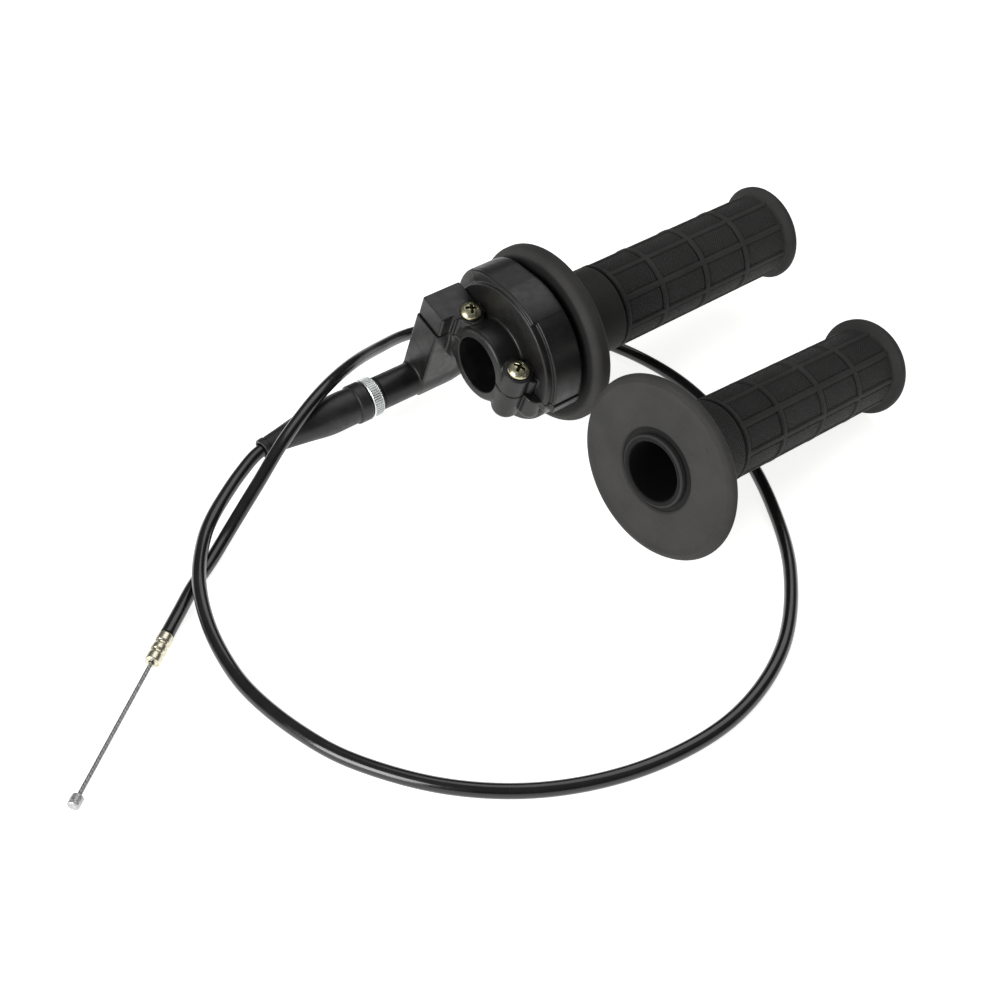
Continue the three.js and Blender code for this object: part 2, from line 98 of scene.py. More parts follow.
# Screws, in the same x, a and b.
SCREW_X, SCREW_SPREAD, SCREW_SEAT = -27.3, 15.3, 11.6
HEAD_BASE, HEAD_RADIUS, HEAD_TURNS = SCREW_SEAT + 0.3, 4.3, {-1: 28, 1: 62}
DOME_RADIUS, DOME_SINK = 5.2, 2.4
SHANK_RADIUS, SHANK_TIP = 2.4, -10.9
SLOT_WIDTH, SLOT_LENGTH, SLOT_DEPTH = 0.55, 2.4, 0.3

# Grips, along each one's own axis and out from it. The dots are (radius, angle in degrees).
GRIP_LENGTH, GRIP_FLANGE, GRIP_BARREL, GRIP_END, GRIP_STEP = 122.6, 35.9, 16.9, 19.9, 28.2
LEFT_LENGTH, LEFT_FLANGE, LEFT_BARREL, LEFT_END, LEFT_STEP = 122.4, 34.6, 15.65, 19.4, 27.4
TUBE_BORE, TUBE_BORE_END, BORE_END = 13.5, 117.8, 117.9
RIB_COUNT, RIB_HEIGHT, PANELS_END = 9, 0.45, 117
MOULD_DOTS = ((19.6, 133.3), (26.7, 135.7))
GRIP_SEGMENTS, GRIP_PITCH = 396, 0.34


# ---- Camera -------------------------------------------------------------------------------------
def make_camera():
    """The camera of the main view."""
    data = bpy.data.cameras.new("camera")
    data.lens = 54.5
    data.sensor_width = 36
    data.clip_start, data.clip_end = 0.01, 20
    camera = bpy.data.objects.new("camera", data)
    camera.location = (-0.3213, -0.3272, 0.3718)
    aim = Vector((-0.0530, 0.0067, 0)) - camera.location
    camera.rotation_euler = aim.to_track_quat("-Z", "Y").to_euler()
    bpy.context.scene.collection.objects.link(camera)
    bpy.context.scene.camera = camera


make_camera()


# ---- Materials ----------------------------------------------------------------------------------
class Shader:
    """A Principled material whose colour, roughness and bump come from nodes."""

    def __init__(self, name, roughness, **constants):
        self.material = bpy.data.materials.new(name)
        self.material.use_nodes = True
        self.nodes = self.material.node_tree.nodes
        self.links = self.material.node_tree.links
        self.base = self.nodes["Principled BSDF"]
        self.base.inputs["Roughness"].default_value = roughness
        for key, value in constants.items():
            self.base.inputs[key.replace("_", " ")].default_value = value
        self.place = self.nodes.new("ShaderNodeTexCoord").outputs["Object"]

    def noise(self, size_mm, detail=3, stretch=None, place=None):
        """Noise whose features are about size_mm across; stretch scales the three axes."""
        node = self.nodes.new("ShaderNodeTexNoise")
        node.inputs["Scale"].default_value = 1 / (size_mm * MM)
        node.inputs["Detail"].default_value = detail
        source = place or self.place
        if stretch:
            mapping = self.nodes.new("ShaderNodeMapping")
            mapping.inputs["Scale"].default_value = stretch
            self.links.new(source, mapping.inputs["Vector"])
            source = mapping.outputs["Vector"]
        self.links.new(source, node.inputs["Vector"])
        return node.outputs["Fac"]

    def ramp(self, value, *stops):
        """A colour for the value, from stops of (place, colour)."""
        node = self.nodes.new("ShaderNodeValToRGB")
        elements = node.color_ramp.elements
        for element, (at, colour) in zip(elements, stops):
            element.position = at
            element.color = (*colour, 1)
        for at, colour in stops[2:]:
            elements.new(at).color = (*colour, 1)
        self.links.new(value, node.inputs["Fac"])
        return node.outputs["Color"]

    def spread(self, value, low, high):
        """The value, from 0.3 to 0.7, as low to high."""
        node = self.nodes.new("ShaderNodeMapRange")
        for key, number in zip(("From Min", "From Max", "To Min", "To Max"), (0.3, 0.7, low, high)):
            node.inputs[key].default_value = number
        self.links.new(value, node.inputs["Value"])
        return node.outputs["Result"]

    def math(self, operation, first, second=None, third=None):
        """A Math node on numbers or sockets."""
        node = self.nodes.new("ShaderNodeMath")
        node.operation = operation
        for socket, value in zip(node.inputs, (first, second, third)):
            if isinstance(value, (int, float)):
                socket.default_value = value
            elif value is not None:
                self.links.new(value, socket)
        return node.outputs[0]

    def mix(self, amount, first, second):
        """A blend of two colours or sockets."""
        node = self.nodes.new("ShaderNodeMix")
        node.data_type = "RGBA"
        self.links.new(amount, node.inputs["Factor"])
        for socket, value in zip((node.inputs[6], node.inputs[7]), (first, second)):
            if isinstance(value, tuple):
                socket.default_value = (*value, 1)
            else:
                self.links.new(value, socket)
        return node.outputs[2]

    def attribute(self, name):
        """A number kept on the mesh."""
        node = self.nodes.new("ShaderNodeAttribute")
        node.attribute_name = name
        return node.outputs["Fac"]

    def bumps(self, *layers):
        """Bumps in turn, each of (height, depth in mm)."""
        normal = None
        for height, depth in layers:
            node = self.nodes.new("ShaderNodeBump")
            node.inputs["Distance"].default_value = depth * MM
            self.links.new(height, node.inputs["Height"])
            if normal:
                self.links.new(normal, node.inputs["Normal"])
            normal = node.outputs["Normal"]
        self.links.new(normal, self.base.inputs["Normal"])

    def set(self, key, value):
        """Links a value to one of the shader's sockets."""
        self.links.new(value, self.base.inputs[key])


def grey(value, warmth=0.0):
    """A grey, warmer with warmth above 0."""
    return (value * (1 + warmth), value, value * (1 - warmth))


def plastic_material():
    """Black moulded plastic with a faint mottle."""
    shader = Shader("moulded_plastic", 0.4, Specular_IOR_Level=0.42)
    cloud = shader.noise(9, 4)
    grain = shader.noise(0.35, 2)
    tone = shader.ramp(cloud, (0.35, grey(0.004, 0.04)), (0.7, grey(0.009, 0.04)))
    shader.set("Base Color", tone)
    mottle = shader.noise(3.5, 5)
    shader.set("Roughness", shader.spread(mottle, 0.3, 0.46))
    shader.bumps((cloud, 0.12), (grain, 0.03))
    return shader.material


def rubber_material():
    """Rubber with fine diamond knurling where the mesh's panel is 1, and painted shade where it is
    below 0. The UVs are in mm.
    """
    shader = Shader("grip_rubber", 0.72, Specular_IOR_Level=0.25)
    cloud = shader.noise(14, 4)
    fine = shader.noise(0.5, 3)
    tone = shader.ramp(cloud, (0.3, grey(0.027, 0.03)), (0.75, grey(0.038, 0.03)))
    mark = shader.attribute("panel")
    panel = shader.math("MAXIMUM", mark, 0.0)
    # The panel's values below 0 are painted shade, down to near black.
    painted_shade = shader.math("MAXIMUM", shader.math("MULTIPLY", mark, -1.0), 0.0)
    uv = shader.nodes.new("ShaderNodeSeparateXYZ")
    shader.links.new(shader.nodes.new("ShaderNodeTexCoord").outputs["UV"], uv.inputs[0])
    along = shader.math("MULTIPLY", uv.outputs[0], 2 * math.pi / 1.35)
    around = shader.math("MULTIPLY", uv.outputs[1], 2 * math.pi / 1.2)
    one = shader.math("SINE", shader.math("ADD", along, around))
    two = shader.math("SINE", shader.math("SUBTRACT", along, around))
    knurl = shader.math("MULTIPLY", shader.math("ADD", one, two), panel)
    # Painted shade: the knurl's troughs darker than its crests.
    dark = shader.spread(shader.math("MULTIPLY_ADD", knurl, 0.2, 0.5), 0.0, 1.0)
    face = shader.mix(dark, shader.mix(panel, tone, grey(0.023, 0.03)), tone)
    # Painted shade: near black where the panel is below 0.
    shader.set("Base Color", shader.mix(painted_shade, face, grey(0.002)))
    shader.set("Roughness", shader.spread(fine, 0.66, 0.82))
    shader.bumps((knurl, 0.09), (fine, 0.04), (cloud, 0.12))
    return shader.material


def boot_material():
    """Smooth black rubber."""
    shader = Shader("boot_rubber", 0.45, Specular_IOR_Level=0.45)
    cloud = shader.noise(6, 4)
    fine = shader.noise(0.5, 3)
    shader.set("Base Color", shader.ramp(cloud, (0.3, grey(0.010)), (0.7, grey(0.018))))
    shader.set("Roughness", shader.spread(shader.noise(2.5, 4), 0.36, 0.52))
    shader.bumps((cloud, 0.2), (fine, 0.03))
    return shader.material


def sheath_material():
    """Glossy black PVC."""
    shader = Shader(
        "cable_sheath", 0.25, Specular_IOR_Level=0.5, Coat_Weight=0.3, Coat_Roughness=0.12,
    )
    cloud = shader.noise(5, 3)
    shader.set("Base Color", shader.ramp(cloud, (0.3, grey(0.004)), (0.7, grey(0.007))))
    shader.set("Roughness", shader.spread(shader.noise(6, 4), 0.15, 0.26))
    shader.bumps((shader.noise(9, 2), 0.06))
    return shader.material


def nylon_material(name, low, high):
    """Nylon that drifts between two colours."""
    shader = Shader(name, 0.5, Specular_IOR_Level=0.4)
    shader.set("Base Color", shader.ramp(shader.noise(5, 3), (0.3, low), (0.7, high)))
    shader.set("Roughness", shader.spread(shader.noise(1.2, 4), 0.42, 0.6))
    shader.bumps((shader.noise(0.4, 2), 0.02))
    return shader.material


def metal_material(name, low, high, roughness, scratch=(1, 1, 1), wear=1.2):
    """Plated or cast metal, with fine marks stretched by scratch."""
    shader = Shader(name, roughness, Metallic=1.0)
    plating = shader.ramp(shader.noise(wear, 5), (0.32, low), (0.68, high))
    # Painted shade: dark where the mesh's panel is 1, between the lock nut's teeth.
    shader.set("Base Color", shader.mix(shader.attribute("panel"), plating, grey(0.03)))
    marks = shader.noise(0.25, 4, scratch)
    shader.set("Roughness", shader.spread(marks, roughness * 0.7, roughness * 1.35))
    shader.bumps((marks, 0.012), (shader.noise(0.8, 3), 0.02))
    return shader.material


def yellow_zinc_material():
    """Yellow zinc plating, which drifts between gold, green and rose."""
    shader = Shader("yellow_zinc", 0.2, Metallic=1.0)
    drift = shader.noise(2.2, 3)
    plating = shader.ramp(
        drift, (0.3, (0.46, 0.48, 0.32)), (0.5, (0.60, 0.57, 0.38)), (0.7, (0.55, 0.48, 0.37)),
    )
    # Painted shade: dark where the mesh's panel is 1, in the screws' cross recesses.
    shader.set("Base Color", shader.mix(shader.attribute("panel"), plating, (0.05, 0.04, 0.02)))
    shader.set("Roughness", shader.spread(shader.noise(0.4, 4), 0.2, 0.36))
    shader.bumps((shader.noise(0.3, 3), 0.012))
    return shader.material


PLASTIC = plastic_material()
RUBBER = rubber_material()
BOOT_RUBBER = boot_material()
SHEATH = sheath_material()
NYLON = nylon_material("dark_nylon", grey(0.012), grey(0.022))
WHITE_NYLON = nylon_material("white_nylon", grey(0.55, 0.04), grey(0.7, 0.04))
YELLOW_ZINC = yellow_zinc_material()
WHITE_ZINC = metal_material("white_zinc", (0.80, 0.85, 0.84), (0.95, 0.97, 0.96), 0.34)
BRASS = metal_material("nickel_brass", (0.56, 0.53, 0.41), (0.78, 0.74, 0.60), 0.28)
STEEL = metal_material("steel_wire", grey(0.26), grey(0.42), 0.4)
CAST_ZINC = metal_material("cast_zinc", grey(0.42), grey(0.6), 0.5, wear=0.7)


# ---- Meshes -------------------------------------------------------------------------------------
def finished(name, mesh, material, body, slot, *nodes):
    """The mesh as a piece that rides on a body and stands for CAD nodes."""
    mesh.materials.append(material)
    piece = bpy.data.objects.new(name, mesh)
    bpy.context.scene.collection.objects.link(piece)
    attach(piece, body)
    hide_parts(*nodes)
    return piece


def mesh_of(name, points, quads, sharp=math.radians(50)):
    """A smooth-shaded mesh in metres from points in millimetres."""
    mesh = bpy.data.meshes.new(name)
    mesh.from_pydata((points * MM).tolist(), [], quads.tolist())
    mesh.validate()
    mesh.shade_smooth()
    if sharp:
        mesh.set_sharp_from_angle(angle=sharp)
    return mesh


def rounded(corners, radius, steps=5):
    """A polyline of [s, r] with its inner corners rounded."""
    corners = [np.array(c, float) for c in corners]
    out = [corners[0]]
    for before, corner, after in zip(corners, corners[1:], corners[2:]):
        to_before, to_after = before - corner, after - corner
        reach = min(radius, np.linalg.norm(to_before) * 0.45, np.linalg.norm(to_after) * 0.45)
        start = corner + to_before / np.linalg.norm(to_before) * reach
        end = corner + to_after / np.linalg.norm(to_after) * reach
        for t in np.linspace(0, 1, steps):
            out.append((1 - t) ** 2 * start + 2 * t * (1 - t) * corner + t ** 2 * end)
    out.append(corners[-1])
    return np.array(out)


def resampled(profile, pitch):
    """The profile with no two points further apart than pitch."""
    out = [profile[0]]
    for first, second in zip(profile, profile[1:]):
        count = max(1, math.ceil(np.linalg.norm(second - first) / pitch))
        out.extend(first + (second - first) * k / count for k in range(1, count + 1))
    return np.array(out)


def straight(origin, axes):
    """Places [s, u, v] along a straight axis."""
    first, second, third = axes

    def place(s, u, v):
        return origin + s[..., None] * first + u[..., None] * second + v[..., None] * third

    return place


class Path:
    """A smooth line through points, measured by its length, with a frame that doesn't twist."""

    def __init__(self, points):
        self.points = np.array(points)
        steps = np.diff(self.points, axis=0)
        lengths = np.linalg.norm(steps, axis=1)
        self.reached = np.concatenate([[0], np.cumsum(lengths)])
        tangents = np.gradient(self.points, axis=0)
        self.tangents = tangents / np.linalg.norm(tangents, axis=1)[:, None]
        side = np.cross(self.tangents[0], (0, 0, 1))
        self.sides = [side / np.linalg.norm(side)]
        for tangent in self.tangents[1:]:
            side = self.sides[-1] - tangent * (self.sides[-1] @ tangent)
            self.sides.append(side / np.linalg.norm(side))
        self.sides = np.array(self.sides)
        self.length = self.reached[-1]

    def along(self, values, s):
        """Values kept at the line's points, at the lengths s."""
        inside = np.clip(s, 0, self.length)
        return np.stack([np.interp(inside, self.reached, values[:, k]) for k in range(3)], -1)

    def place(self, s, u, v):
        """Points at the lengths s, u to the side and v across it, and straight on past the ends."""
        tangent = self.along(self.tangents, s)
        side = self.along(self.sides, s)
        other = np.cross(tangent, side)
        beyond = (s - np.clip(s, 0, self.length))[..., None]
        centre = self.along(self.points, s) + beyond * tangent
        return centre + u[..., None] * side + v[..., None] * other


def through(points, per_span=12):
    """A centripetal Catmull-Rom line through points, as three.js draws it."""
    points = np.array(points, float)
    padded = np.vstack([2 * points[0] - points[1], points, 2 * points[-1] - points[-2]])
    out = []
    for p0, p1, p2, p3 in zip(padded, padded[1:], padded[2:], padded[3:]):
        d0, d1, d2 = (math.sqrt(np.linalg.norm(q - p)) for p, q in ((p0, p1), (p1, p2), (p2, p3)))
        m1 = ((p1 - p0) / d0 - (p2 - p0) / (d0 + d1) + (p2 - p1) / d1) * d1
        m2 = ((p2 - p1) / d1 - (p3 - p1) / (d1 + d2) + (p3 - p2) / d2) * d1
        for t in np.arange(per_span) / per_span:
            out.append(
                (2 * t ** 3 - 3 * t ** 2 + 1) * p1 + (t ** 3 - 2 * t ** 2 + t) * m1
                + (-2 * t ** 3 + 3 * t ** 2) * p2 + (t ** 3 - t ** 2) * m2
            )
    out.append(points[-1])
    return np.array(out)


def skin(name, place, profile, segments=96, relief=None, closed=True, panel=None):
    """A surface turned from a profile of [s, r] and laid along a place.

    relief gives (shift of s, shift of r) for s, r and the angle. panel gives a number kept on each
    vertex for the material. A closed profile is a loop; an open one has its ends on the axis.
    """
    angles = np.arange(segments) * 2 * math.pi / segments
    s, angle = np.meshgrid(profile[:, 0], angles, indexing="ij")
    r = np.repeat(profile[:, 1:2], segments, axis=1)
    uv = np.stack([s, angle * 17], -1).reshape(-1, 2)
    marks = panel(s, r, angle).reshape(-1) if panel else np.zeros(s.size)
    if relief:
        shift_s, shift_r = relief(s, r, angle)
        s, r = s + shift_s, r + shift_r
    points = place(s, r * np.cos(angle), r * np.sin(angle)).reshape(-1, 3)
    rows = len(profile)
    last = rows if closed else rows - 1
    row = np.arange(last)[:, None] * segments
    following = ((np.arange(last) + 1) % rows)[:, None] * segments
    column = np.arange(segments)[None]
    beside = (column + 1) % segments
    quads = np.stack([row + column, row + beside, following + beside, following + column], -1)
    mesh = mesh_of(name, points, quads.reshape(-1, 4))
    add_uv(mesh, uv, 2 * math.pi * 17)
    add_marks(mesh, marks)
    tidy(mesh)
    return mesh


def add_marks(mesh, marks):
    """A number on each vertex, which the materials read as "panel": knurling, and painted shade."""
    layer = mesh.attributes.new("panel", "FLOAT", "POINT")
    layer.data.foreach_set("value", marks.astype(np.float32))


def add_uv(mesh, uv, around):
    """UVs in millimetres that run on across the seam."""
    corners = np.empty(len(mesh.loops), np.int32)
    mesh.loops.foreach_get("vertex_index", corners)
    values = uv[corners].reshape(-1, 4, 2)
    first, turned = values[:, :1, 1], values[..., 1]
    turned = np.where(first - turned > around / 2, turned + around, turned)
    turned = np.where(turned - first > around / 2, turned - around, turned)
    values[..., 1] = turned
    mesh.uv_layers.new(name="UVMap").data.foreach_set("uv", values.reshape(-1).astype(np.float32))


def tidy(mesh):
    """Merges the points on the axis and faces everything outwards."""
    work = bmesh.new()
    work.from_mesh(mesh)
    bmesh.ops.remove_doubles(work, verts=work.verts, dist=1e-6)
    bmesh.ops.recalc_face_normals(work, faces=work.faces)
    work.to_mesh(mesh)
    work.free()


# ---- Distance fields ----------------------------------------------------------------------------
def both(first, second, radius=0.0):
    """Where two fields meet, with the outer edge rounded."""
    p, q = first + radius, second + radius
    return np.hypot(np.maximum(p, 0), np.maximum(q, 0)) + np.minimum(np.maximum(p, q), 0) - radius


def joined(first, second, fillet):
    """Two fields as one, with a fillet in the inner corner."""
    share = np.clip(0.5 + 0.5 * (second - first) / fillet, 0, 1)
    return second + (first - second) * share - fillet * share * (1 - share)


def less(field, tool, edge):
    """A field with a tool cut out and the edge broken."""
    return -joined(-field, tool, edge)


def slab(value, low, high):
    """Negative between low and high."""
    return np.abs(value - (low + high) / 2) - (high - low) / 2


def sampled(grid, at):
    """A grid's values between its points."""
    base = np.clip(np.floor(at).astype(int), 0, np.array(grid.shape) - 2)
    part = at - base
    total = np.zeros(len(at))
    for corner in np.ndindex(2, 2, 2):
        weight = np.prod(np.where(np.array(corner), part, 1 - part), axis=1)
        total += weight * grid[tuple((base + corner).T)]
    return total


def surface(name, field, low, pitch, place):
    """The zero surface of a sampled field, by surface nets with two steps on to the field."""
    cells = np.array(field.shape) - 1
    sums = np.zeros((cells.prod(), 3))
    counts = np.zeros(cells.prod())
    quads = []
    for k in range(3):
        i, j = (k + 1) % 3, (k + 2) % 3
        start = [slice(1, -1)] * 3
        stop = [slice(1, -1)] * 3
        start[k], stop[k] = slice(0, -1), slice(1, None)
        first, second = field[tuple(start)], field[tuple(stop)]
        edges = np.argwhere((first < 0) != (second < 0))
        inside = first[tuple(edges.T)]
        share = inside / (inside - second[tuple(edges.T)])
        edges[:, i] += 1
        edges[:, j] += 1
        crossing = edges.astype(float)
        crossing[:, k] += share
        corners = []
        for back_i, back_j in ((0, 0), (1, 0), (1, 1), (0, 1)):
            cell = edges.copy()
            cell[:, i] -= back_i
            cell[:, j] -= back_j
            ids = np.ravel_multi_index(cell.T, cells)
            np.add.at(sums, ids, crossing)
            np.add.at(counts, ids, 1)
            corners.append(ids)
        face = np.stack(corners, -1)
        face[inside > 0] = face[inside > 0][:, ::-1]
        quads.append(face)
    quads = np.concatenate(quads)
    used, flat = np.unique(quads, return_inverse=True)
    at = sums[used] / counts[used][:, None]
    slopes = np.gradient(field)
    for _ in range(2):
        slope = np.stack([sampled(grid, at) for grid in slopes], -1)
        steep = np.maximum((slope ** 2).sum(1), 1e-6)
        step = slope * (sampled(field, at) / steep)[:, None]
        at = at - np.clip(step, -0.5, 0.5)
    at = np.asarray(low) + at * pitch
    return mesh_of(name, place(at[:, 0], at[:, 1], at[:, 2]), flat.reshape(-1, 4), sharp=None)


def axes_of(low, high, pitch):
    """Open grids of x, a and b that cover a box."""
    return np.ogrid[tuple(slice(p, q + pitch, pitch) for p, q in zip(low, high))]


# ---- Housing ------------------------------------------------------------------------------------
HOUSING_PLACE = straight(BAR, HOUSING_AXES)


def bent_pipe(x, b):
    """Distance in the (x, b) plane from the wire's path through the arm."""
    down = np.hypot(x - WIRE_X, b - np.clip(b, BEND_B, -1.0))
    out = np.hypot(x - np.minimum(x, BEND_X), b - WIRE_B)
    bend = np.abs(np.hypot(x - BEND_X, b - BEND_B) - WIRE_BEND)
    corner = (x > BEND_X) & (b < BEND_B)
    return np.where(corner, bend, np.minimum(down, out))


def arm(x, a, b):
    """The flat arm that carries the wire from the drum down to the elbow."""
    front = np.where(b < SPLIT, ARM_FRONT_LOW, ARM_FRONT_HIGH)
    tall = both(slab(x, front, ARM_BACK), slab(b, BEND_B - ARM_ARC, ARM_TOP))
    wide = both(slab(x, BEND_X, BEND_X + ARM_ARC), slab(b, BEND_B, 5))
    disc = both(np.hypot(x - BEND_X, b - BEND_B) - ARM_ARC, ARM_FRONT_DISC - x)
    outline = np.minimum(np.minimum(tall, wide), disc)
    return both(outline, slab(a, *ARM_WIDTH), 0.9)


def drum_outline(a, b):
    """Distance from the drum's outline, which is wrapped round two circles."""
    apart = math.hypot(BULGE_A, BULGE_B)
    lean = (DRUM_RADIUS - BULGE_RADIUS) / apart
    rise = math.sqrt(1 - lean * lean)
    along = (BULGE_A * a + BULGE_B * b) / apart
    across = np.abs(BULGE_B * a - BULGE_A * b) / apart
    turn = rise * along - lean * across
    near = np.hypot(a, b) - DRUM_RADIUS
    side = rise * across + lean * along - DRUM_RADIUS
    far = np.hypot(across, along - apart) - BULGE_RADIUS
    return np.where(turn < 0, near, np.where(turn > rise * apart, far, side))


def sector(a, b, start, stop):
    """Negative between two angles, in degrees, about the bar."""
    low, high = math.radians(start), math.radians(stop)
    past_low = a * math.sin(low) - b * math.cos(low)
    past_high = b * math.cos(high) - a * math.sin(high)
    return np.maximum(past_low, past_high)


def fin(x, a, b):
    """The thin web between the collar and the arm, whose edge slants back below the middle."""
    slant = (-34.1 - x) * 0.966 + (b - 2.2) * -0.258
    edge = np.maximum(-34.3 - x, slant)
    web = both(np.maximum(edge, x + 26), slab(a, 14.6, 16.9), 0.4)
    return both(web, slab(b, -15, ARM_TOP), 0.4)


def drum_field(x, a, b):
    """The drum: wide above the ledge and slim below it, with a raised band and a stepped face."""
    rho = np.hypot(a, b)
    outline = drum_outline(a, b)
    above = both(outline, LEDGE_BOTTOM - b, 0.4)
    band = both(np.minimum(above, rho - SLIM_RADIUS), slab(x, DRUM_FRONT, DRUM_BACK), 0.6)
    face = both(both(rho - FACE_RADIUS, LEDGE_BOTTOM - b, 0.4), slab(x, FACE_FRONT, -12), 0.7)
    arc = both(sector(a, b, *RAISED_ARC), slab(x, RAISED_FRONT, -7), 0.4)
    raised = both(outline, arc, 0.5)
    hatched = outline - 0.6 - 0.14 * np.sin(4.4 * (x + b))
    ledge = both(hatched, both(slab(x, -18.8, -6.2), slab(b, LEDGE_BOTTOM, SPLIT), 0.3), 0.3)
    return np.minimum(joined(joined(band, face, 0.4), raised, 0.3), ledge)


def housing_field(x, a, b):
    """Both shells as one, before they are hollowed and split."""
    collar = both(np.hypot(a, b) - COLLAR_RADIUS, slab(x, COLLAR_FRONT, -12), 1.5)
    pipe = np.hypot(bent_pipe(x, b), a - WIRE_A)
    elbow = both(pipe - ELBOW_RADIUS, ELBOW_END - x, 0.5)
    body = joined(drum_field(x, a, b), collar, 1.0)
    body = joined(body, arm(x, a, b), 0.8)
    body = joined(body, elbow, 1.0)
    body = joined(body, fin(x, a, b), 0.6)
    for side in (1, -1):
        post = np.hypot(x - SCREW_X, a - side * SCREW_SPREAD) - BOSS_RADIUS
        foot = both(post, BOSS_BOTTOM - b, 3.2)
        body = joined(body, both(foot, b - SCREW_SEAT, 0.5), 0.9)
    lug = both(np.hypot(x - LUG_X, a - LUG_A) - LUG_RADIUS, LUG_BOTTOM - b, 3.0)
    body = joined(body, both(lug, b - SPLIT, 0.6), 0.8)
    stem = both(np.hypot(x - STEM_X, a - STEM_A) - STEM_RADIUS, b - STEM_TOP, 0.8)
    return joined(body, both(stem, -2 - b), 0.6)


def housing_cuts(x, a, b):
    """The bar's bore, the drum's room and its mouth, the wire's way, and the screws' holes."""
    rho = np.hypot(a, b)
    pipe = np.hypot(bent_pipe(x, b), a - WIRE_A)
    thread = np.hypot(a - WIRE_A, b - WIRE_B)
    cuts = [
        both(rho - BAR_BORE, slab(x, -40, -16)),
        both(rho - CAVITY_RADIUS, slab(x, CAVITY_FRONT, CAVITY_BACK)),
        both(rho - CAVITY_MOUTH, slab(x, -9, 0)),
        both(pipe - ELBOW_BORE, -70 - x),
        both(thread - ELBOW_THREAD, slab(x, -70, -46)),
    ]
    for side in (1, -1):
        post = np.hypot(x - SCREW_X, a - side * SCREW_SPREAD)
        cuts.append(both(post - 2.7, slab(b, -11.2, 20)))
        cuts.append(both(post - 3.5, slab(b, -9.9, 0)))
    return cuts


def housing_shells():
    """The two halves of the clamp, cut apart at the split."""
    low, high, pitch = (-59.0, -33.0, -40.0), (-4.5, 33.0, 33.0), 0.36
    x, a, b = axes_of(low, high, pitch)
    field = housing_field(x, a, b)
    for tool in housing_cuts(x, a, b):
        field = less(field, tool, 0.4)
    b_all = np.broadcast_to(b, field.shape)
    halves = {
        "upper_shell": ("housing_upper", less(field, b_all - SPLIT - 0.12, 0.45)),
        "lower_shell": ("housing_lower", less(field, SPLIT - 0.12 - b_all, 0.45)),
    }
    for name, (node, half) in halves.items():
        mesh = surface(name, half, low, pitch, HOUSING_PLACE)
        finished(name, mesh, PLASTIC, "housing", "black_plastic", node)


def clamp_screw(name, node, side):
    """A domed cross-head screw."""
    low, high, pitch = (-5.0, -5.0, -13.5), (5.0, 5.0, 15.5), 0.14
    x, a, b = axes_of(low, high, pitch)
    rho = np.hypot(x, a)
    dome = np.hypot(rho, b - HEAD_BASE + DOME_SINK) - DOME_RADIUS
    head = both(both(rho - HEAD_RADIUS, dome, 0.35), HEAD_BASE - b, 0.15)
    shank = both(rho - SHANK_RADIUS, slab(b, SHANK_TIP, HEAD_BASE + 0.5), 0.4)
    turn = math.radians(HEAD_TURNS[side])
    u = x * math.cos(turn) + a * math.sin(turn)
    v = -x * math.sin(turn) + a * math.cos(turn)
    floor = HEAD_BASE + SLOT_DEPTH + 0.6 * rho
    for across, over in ((u, v), (v, u)):
        slot = both(np.abs(across) - SLOT_WIDTH, np.abs(over) - SLOT_LENGTH)
        head = less(head, both(slot, floor - b), 0.2)
    origin = HOUSING_PLACE(*(np.array(v) for v in (SCREW_X, side * SCREW_SPREAD, 0.0)))
    place = straight(origin, HOUSING_AXES)
    mesh = surface(name, np.minimum(head, shank), low, pitch, place)
    local = (np.array([v.co for v in mesh.vertices]) / MM - origin) @ HOUSING_AXES.T
    # Painted shade in the cross recess, kept as the panel mark.
    add_marks(mesh, screw_recess_painted_shade(*local.T))
    finished(name, mesh, YELLOW_ZINC, "housing", "yellow_zinc", node)


def screw_recess_painted_shade(x, a, b):
    """Painted shade: 1 in a screw's cross recess, where a point lies under the dome, and 0
    elsewhere.
    """
    reach = np.hypot(x, a)
    under = DOME_RADIUS - np.hypot(reach, b - HEAD_BASE + DOME_SINK)
    return np.clip(under / 0.5 - 0.4, 0, 1) * (reach < 2.9) * (b > HEAD_BASE)


# ---- Grips --------------------------------------------------------------------------------------
def pulse(distance, half_width, edge=0.4):
    """1 within half_width of a line, 0 outside it, with a sloped edge."""
    return np.clip((half_width + edge / 2 - np.abs(distance)) / edge, 0, 1)


